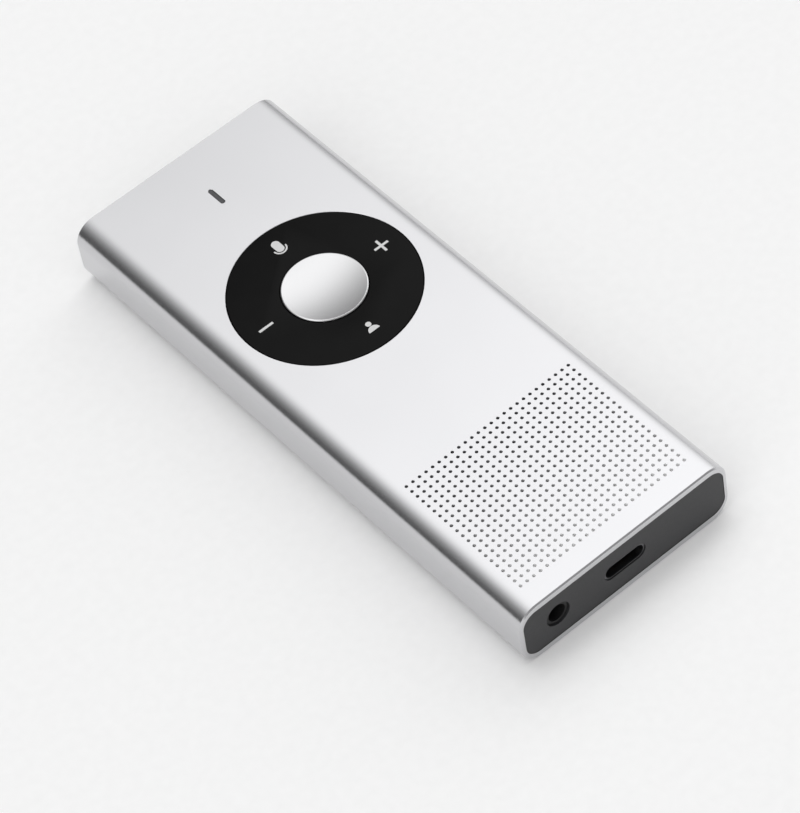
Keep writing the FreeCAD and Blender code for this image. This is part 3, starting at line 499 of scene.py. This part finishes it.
# Sockets
# The charging socket's drawn steel shell with its black tongue, and the headphone socket's black nose,
# both mounted on the small board and reaching out through the near end cap.
socket_plastic = moulded_plastic("moulded_black_socket_resin", "0A0A0B", "101011", 0.6, 0.2 * MM)
finish_node("usb_tongue", socket_plastic)
finish_node("jack_body", socket_plastic)
finish_node("usb_shell", plated_metal("dark_nickel_plated_shell", "5A5A5C", "707072", 0.35, 0.3 * MM))

# Dial
# One gloss black moulding whose face is flush with the sleeve; it rocks four ways on its gimbal.
# Its two upper rims are rounded off as a mould leaves them, on a merged copy of the CAD ring.
DIAL_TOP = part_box("dial_ring")[1].z
DIAL_RIM_ROUND = 0.12 * MM
RIM_STEPS = 3
MERGE = 0.001 * MM
FLAT_ANGLE = math.radians(0.5)
SHARP_ANGLE = math.radians(60)
ORANGE_PEEL = 3 * MM

# Polycarbonate from a polished mould: near black, with a weak even shine.
dial_black, tree = new_material("gloss_black_polycarbonate")
place = add(tree, "ShaderNodeTexCoord").outputs["Object"]
orange_peel = add(tree, "ShaderNodeTexNoise", {"Vector": place, "Scale": 1 / ORANGE_PEEL, "Detail": 1.0})
tone = add(tree, "ShaderNodeMix", {
    "Factor": orange_peel.outputs["Fac"],
    "A": linear("0E0E0E"),
    "B": linear("121212"),
}, data_type="RGBA")
rough = add(tree, "ShaderNodeMapRange", {"Value": orange_peel.outputs["Fac"], "To Min": 0.3, "To Max": 0.36})
gloss = add(tree, "ShaderNodeBsdfPrincipled", {
    "Base Color": tone.outputs["Result"],
    "Roughness": rough.outputs["Result"],
    "Specular IOR Level": 0.06,
})
add(tree, "ShaderNodeOutputMaterial", {"Surface": gloss.outputs["BSDF"]})

bm = bmesh.new()
bm.from_mesh(nodes["dial_ring"].data)
bmesh.ops.remove_doubles(bm, verts=bm.verts, dist=MERGE)
bmesh.ops.dissolve_limit(bm, angle_limit=FLAT_ANGLE, verts=bm.verts, edges=bm.edges)
rims = [edge for edge in bm.edges if edge.calc_face_angle(0) > SHARP_ANGLE
        and all(abs(vert.co.z - DIAL_TOP) < MERGE for vert in edge.verts)]
bmesh.ops.bevel(bm, geom=rims, offset=DIAL_RIM_ROUND, offset_type="OFFSET", segments=RIM_STEPS,
                profile=0.5, affect="EDGES", material=-1)
dial = new_piece("dial_moulding", bm, [dial_black], 40)
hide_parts("dial_ring")
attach(dial, "dial")

# Printed signs
# White pad-printed ink on the dial: louder, quieter, a microphone and a plain figure of a talker,
# all upright for a hand that holds the end with the sockets.
INK = 0.02 * MM
SIGN_STROKE = 0.5 * MM
SIGN_LENGTH = 3.05 * MM
PLUS_X = 13.1 * MM
PLUS_Y = 0.15 * MM
MINUS_X = -12.9 * MM
MINUS_Y = 0.4 * MM
MIC_X = 0.2 * MM
MIC_Y = 13.3 * MM
MIC_HALF_WIDTH = 0.82 * MM
MIC_HALF_HEIGHT = 1.45 * MM
CUP_R = 1.25 * MM
CUP_STROKE = 0.3 * MM
CUP_Y = 12.75 * MM
FIGURE_Y = -12.6 * MM
NECK_GAP = 0.1 * MM
HEAD_R = 0.55 * MM
SHOULDER_R = 1.15 * MM
INK_SIDES = 32
STIPPLE = 0.1 * MM

# Opaque white ink, a touch uneven where the pad let go of it.
ink, tree = new_material("pad_printed_white_ink")
place = add(tree, "ShaderNodeTexCoord").outputs["Object"]
stipple = add(tree, "ShaderNodeTexNoise", {"Vector": place, "Scale": 1 / STIPPLE, "Detail": 2.0})
tone = add(tree, "ShaderNodeMix", {"Factor": stipple.outputs["Fac"], "A": linear("C4C4C4"), "B": linear("DCDCDC")},
           data_type="RGBA")
paint = add(tree, "ShaderNodeBsdfPrincipled", {"Base Color": tone.outputs["Result"], "Roughness": 0.5})
add(tree, "ShaderNodeOutputMaterial", {"Surface": paint.outputs["BSDF"]})


def raise_ink(bm):
    """Gives flat printed shapes the thickness of the ink, standing on the dial's face."""
    grown = bmesh.ops.extrude_face_region(bm, geom=bm.faces[:])["geom"]
    verts = [item for item in grown if isinstance(item, bmesh.types.BMVert)]
    bmesh.ops.translate(bm, verts=verts, vec=(0, 0, INK))
    bmesh.ops.recalc_face_normals(bm, faces=bm.faces)


def print_sign(name, bm, x, y):
    """Sets a flat sign on the dial's face, x and y from the dial's middle."""
    raise_ink(bm)
    bmesh.ops.translate(bm, verts=bm.verts, vec=(x, DIAL_Y + y, DIAL_TOP))
    sign = new_piece(name, bm, [ink])
    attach(sign, "dial")


def ink_disc(bm, radius, x, y):
    """Round patch of ink; returns its vertices in order round the rim."""
    return bmesh.ops.create_circle(bm, cap_ends=True, segments=INK_SIDES, radius=radius,
                                   matrix=Matrix.Translation((x, y, 0)))["verts"]


def ink_stroke(bm, arms):
    """Square of ink drawn out to the sign's length on the sides that the arms name."""
    bmesh.ops.create_grid(bm, x_segments=1, y_segments=1, size=SIGN_STROKE / 2)
    for arm in arms:
        side = [edge for edge in bm.edges if all(
            vert.co.length < SIGN_STROKE and vert.co.xy.dot(arm) > SIGN_STROKE / 2 - TOUCH for vert in edge.verts)]
        grown = bmesh.ops.extrude_edge_only(bm, edges=side)["geom"]
        verts = [item for item in grown if isinstance(item, bmesh.types.BMVert)]
        bmesh.ops.translate(bm, verts=verts, vec=(*(arm * (SIGN_LENGTH - SIGN_STROKE) / 2), 0))
    return bm


LEFT, RIGHT, UP, DOWN = Vector((-1, 0)), Vector((1, 0)), Vector((0, 1)), Vector((0, -1))
print_sign("sign_quieter", ink_stroke(bmesh.new(), (LEFT, RIGHT)), MINUS_X, MINUS_Y)
print_sign("sign_louder", ink_stroke(bmesh.new(), (LEFT, RIGHT, UP, DOWN)), PLUS_X, PLUS_Y)

bm = bmesh.new()
for vert in ink_disc(bm, MIC_HALF_WIDTH, 0, 0):
    vert.co.y += math.copysign(MIC_HALF_HEIGHT - MIC_HALF_WIDTH, vert.co.y)
print_sign("sign_microphone_head", bm, MIC_X, MIC_Y)

bm = bmesh.new()
first = bm.verts.new((CUP_R - CUP_STROKE / 2, 0, 0))
second = bm.verts.new((CUP_R + CUP_STROKE / 2, 0, 0))
stroke = bm.edges.new((first, second))
bmesh.ops.spin(bm, geom=[first, second, stroke], cent=(0, 0, 0), axis=(0, 0, 1), dvec=(0, 0, 0),
               angle=-math.pi, steps=INK_SIDES, use_merge=False, use_duplicate=False)
print_sign("sign_microphone_cup", bm, MIC_X, CUP_Y)

bm = bmesh.new()
ink_disc(bm, HEAD_R, 0, HEAD_R + NECK_GAP)
shoulders = ink_disc(bm, SHOULDER_R, 0, -SHOULDER_R)
for vert in shoulders:
    vert.co.y = max(vert.co.y, -SHOULDER_R)
bmesh.ops.dissolve_limit(bm, angle_limit=FLAT_ANGLE, verts=bm.verts, edges=bm.edges)
print_sign("sign_talker", bm, 0, FIGURE_Y)

# Centre button
# Turned from aluminium, with a shallow dish for the thumb and a softly rounded rim, blasted fine.
BUTTON_LOW, BUTTON_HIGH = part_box("centre_button")
BUTTON_TOP = BUTTON_HIGH.z
BUTTON_R = BUTTON_HIGH.x
BUTTON_RIM = 0.25 * MM
BUTTON_DISH = 0.75 * MM
DISH_STEPS = 16
BUTTON_SIDES = 128
BUTTON_RIM_STEPS = 5

# A finer satin than the sleeve's, whose dish gathers the light into one soft gradient.
button_metal, tree = new_material("fine_blasted_turned_aluminium")
place = add(tree, "ShaderNodeTexCoord").outputs["Object"]
FINE_GRIT = 0.12 * MM
grain = add(tree, "ShaderNodeTexNoise", {"Vector": place, "Scale": 1 / FINE_GRIT, "Detail": 3.0})
rough = add(tree, "ShaderNodeMapRange", {"Value": grain.outputs["Fac"], "To Min": 0.26, "To Max": 0.34})
bump = add(tree, "ShaderNodeBump", {"Height": grain.outputs["Fac"], "Strength": 0.1, "Distance": GRIT_DEPTH})
tone = add(tree, "ShaderNodeMix", {"Factor": grain.outputs["Fac"], "A": linear("CACACB"), "B": linear("CFCFD0")},
           data_type="RGBA")
metal = add(tree, "ShaderNodeBsdfPrincipled", {
    "Base Color": tone.outputs["Result"],
    "Metallic": 1.0,
    "Roughness": rough.outputs["Result"],
    "Normal": bump.outputs["Normal"],
})
add(tree, "ShaderNodeOutputMaterial", {"Surface": metal.outputs["BSDF"]})

bm = bmesh.new()
dish_r = BUTTON_R - BUTTON_RIM
outline = []
for step in range(DISH_STEPS + 1):
    share = step / DISH_STEPS
    outline.append(bm.verts.new((dish_r * share, DIAL_Y, BUTTON_TOP - BUTTON_DISH * (1 - share * share))))
outline.append(bm.verts.new((BUTTON_R, DIAL_Y, BUTTON_TOP)))
outline.append(bm.verts.new((BUTTON_R, DIAL_Y, BUTTON_LOW.z)))
outline.append(bm.verts.new((0, DIAL_Y, BUTTON_LOW.z)))
sides = [bm.edges.new(pair) for pair in zip(outline, outline[1:])]
bmesh.ops.spin(bm, geom=outline + sides, cent=(0, DIAL_Y, 0), axis=(0, 0, 1), dvec=(0, 0, 0),
               angle=math.tau, steps=BUTTON_SIDES, use_merge=True, use_duplicate=False)
bmesh.ops.remove_doubles(bm, verts=bm.verts, dist=MERGE)
bmesh.ops.recalc_face_normals(bm, faces=bm.faces)
rim = [edge for edge in bm.edges if edge.calc_face_angle(0) > SHARP_ANGLE
       and all(abs(vert.co.z - BUTTON_TOP) < MERGE for vert in edge.verts)]
bmesh.ops.bevel(bm, geom=rim, offset=BUTTON_RIM, offset_type="OFFSET", segments=BUTTON_RIM_STEPS,
                profile=0.5, affect="EDGES", material=-1)
button = new_piece("centre_button_dish", bm, [button_metal], 40)
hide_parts("centre_button")
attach(button, "button")

# Floor, camera and light
# A plain table, white by its own colour, so that the metal shows it and it keeps the shadow.
# The photograph's angle from over the socket end, and one broad soft light overhead.
CAMERA_AT = Vector((-235.5, -383.3, 546.9)) * MM
CAMERA_AIM = Vector((-7.85, -12.68, 13.5)) * MM
CAMERA_ROLL = math.radians(-11.07)
CAMERA_LENS = 179.93
CLIP_END = 10
FLOOR_HALF = 3.0
FIBRE = 2 * MM
LAMP_HEIGHT = 1.4
LAMP_SIZE = 1.0
LAMP_WATTS = 3.0

camera = bpy.data.objects.new("camera", bpy.data.cameras.new("camera"))
camera.data.lens = CAMERA_LENS
camera.data.clip_end = CLIP_END
look = (CAMERA_AIM - CAMERA_AT).to_track_quat("-Z", "Y").to_matrix().to_4x4()
camera.matrix_world = Matrix.Translation(CAMERA_AT) @ look @ Matrix.Rotation(CAMERA_ROLL, 4, "Z")
bpy.context.scene.collection.objects.link(camera)
bpy.context.scene.camera = camera

# Uncoated paper: matt, with a faint cloud of fibres.
table, tree = new_material("pale_paper_table")
place = add(tree, "ShaderNodeTexCoord").outputs["Object"]
fibre = add(tree, "ShaderNodeTexNoise", {"Vector": place, "Scale": 1 / FIBRE, "Detail": 2.0})
paper = add(tree, "ShaderNodeMix", {"Factor": fibre.outputs["Fac"], "A": linear("F3F3F3"), "B": linear("F8F8F8")},
            data_type="RGBA")
matt = add(tree, "ShaderNodeBsdfDiffuse", {"Color": paper.outputs["Result"]})
add(tree, "ShaderNodeOutputMaterial", {"Surface": matt.outputs["BSDF"]})

bm = bmesh.new()
bmesh.ops.create_grid(bm, x_segments=1, y_segments=1, size=FLOOR_HALF)
floor = new_piece("table", bm, [table])

lamp = bpy.data.objects.new("overhead_softbox", bpy.data.lights.new("overhead_softbox", "AREA"))
lamp.data.energy = LAMP_WATTS
lamp.data.size = LAMP_SIZE
lamp.location = (0, 0, LAMP_HEIGHT)
lamp.visible_glossy = False
bpy.context.scene.collection.objects.link(lamp)

# The studio round it: dim low past the far end, brightest high over it and softer towards the viewer, so that
# the metal shades as it turns. Each stop is a direction's lean along the axis and its strength there.
# Past the table's edge the camera sees a white backdrop instead.
LEAN_AXIS = (0.5, -1.5, 1.0)
LEAN_LEAST = -1.0
LEAN_MOST = 1.87
STUDIO = (
    (-1.0, 0.10),
    (-0.87, 0.13),
    (-0.47, 0.37),
    (-0.31, 0.60),
    (-0.136, 0.84),
    (-0.053, 1.11),
    (0.0, 1.25),
    (0.07, 1.37),
    (0.12, 1.49),
    (0.25, 1.62),
    (0.8, 1.7),
    (1.0, 0.9),
    (1.2, 0.5),
    (1.87, 0.4),
)
BRIGHTEST = 1.7
world = bpy.data.worlds.new("studio")
bpy.context.scene.world = world
world.use_nodes = True
tree = world.node_tree
tree.nodes.clear()
ray = add(tree, "ShaderNodeLightPath")
seen = add(tree, "ShaderNodeMath", {0: ray.outputs["Is Camera Ray"], 1: ray.outputs["Is Transmission Ray"]},
           operation="MAXIMUM")
lean = add(tree, "ShaderNodeVectorMath", {0: add(tree, "ShaderNodeTexCoord").outputs["Generated"], 1: LEAN_AXIS},
           operation="DOT_PRODUCT")
share = add(tree, "ShaderNodeMapRange", {
    "Value": lean.outputs["Value"],
    "From Min": LEAN_LEAST,
    "From Max": LEAN_MOST,
})
dome = add(tree, "ShaderNodeValToRGB", {"Fac": share.outputs["Result"]})
stops = dome.color_ramp.elements
for index, (lean_to, strength) in enumerate(STUDIO):
    position = (lean_to - LEAN_LEAST) / (LEAN_MOST - LEAN_LEAST)
    stop = stops[index] if index in (0, len(STUDIO) - 1) else stops.new(position)
    stop.position = position
    stop.color = (strength / BRIGHTEST,) * 3 + (1.0,)
studio = add(tree, "ShaderNodeBackground", {"Color": dome.outputs["Color"], "Strength": BRIGHTEST})
backdrop = add(tree, "ShaderNodeBackground", {"Color": linear("FFFFFF"), "Strength": 1.0})
mix = add(tree, "ShaderNodeMixShader", {
    0: seen.outputs["Value"],
    1: studio.outputs["Background"],
    2: backdrop.outputs["Background"],
})
add(tree, "ShaderNodeOutputWorld", {"Surface": mix.outputs["Shader"]})

bpy.context.scene.view_settings.view_transform = "Standard"
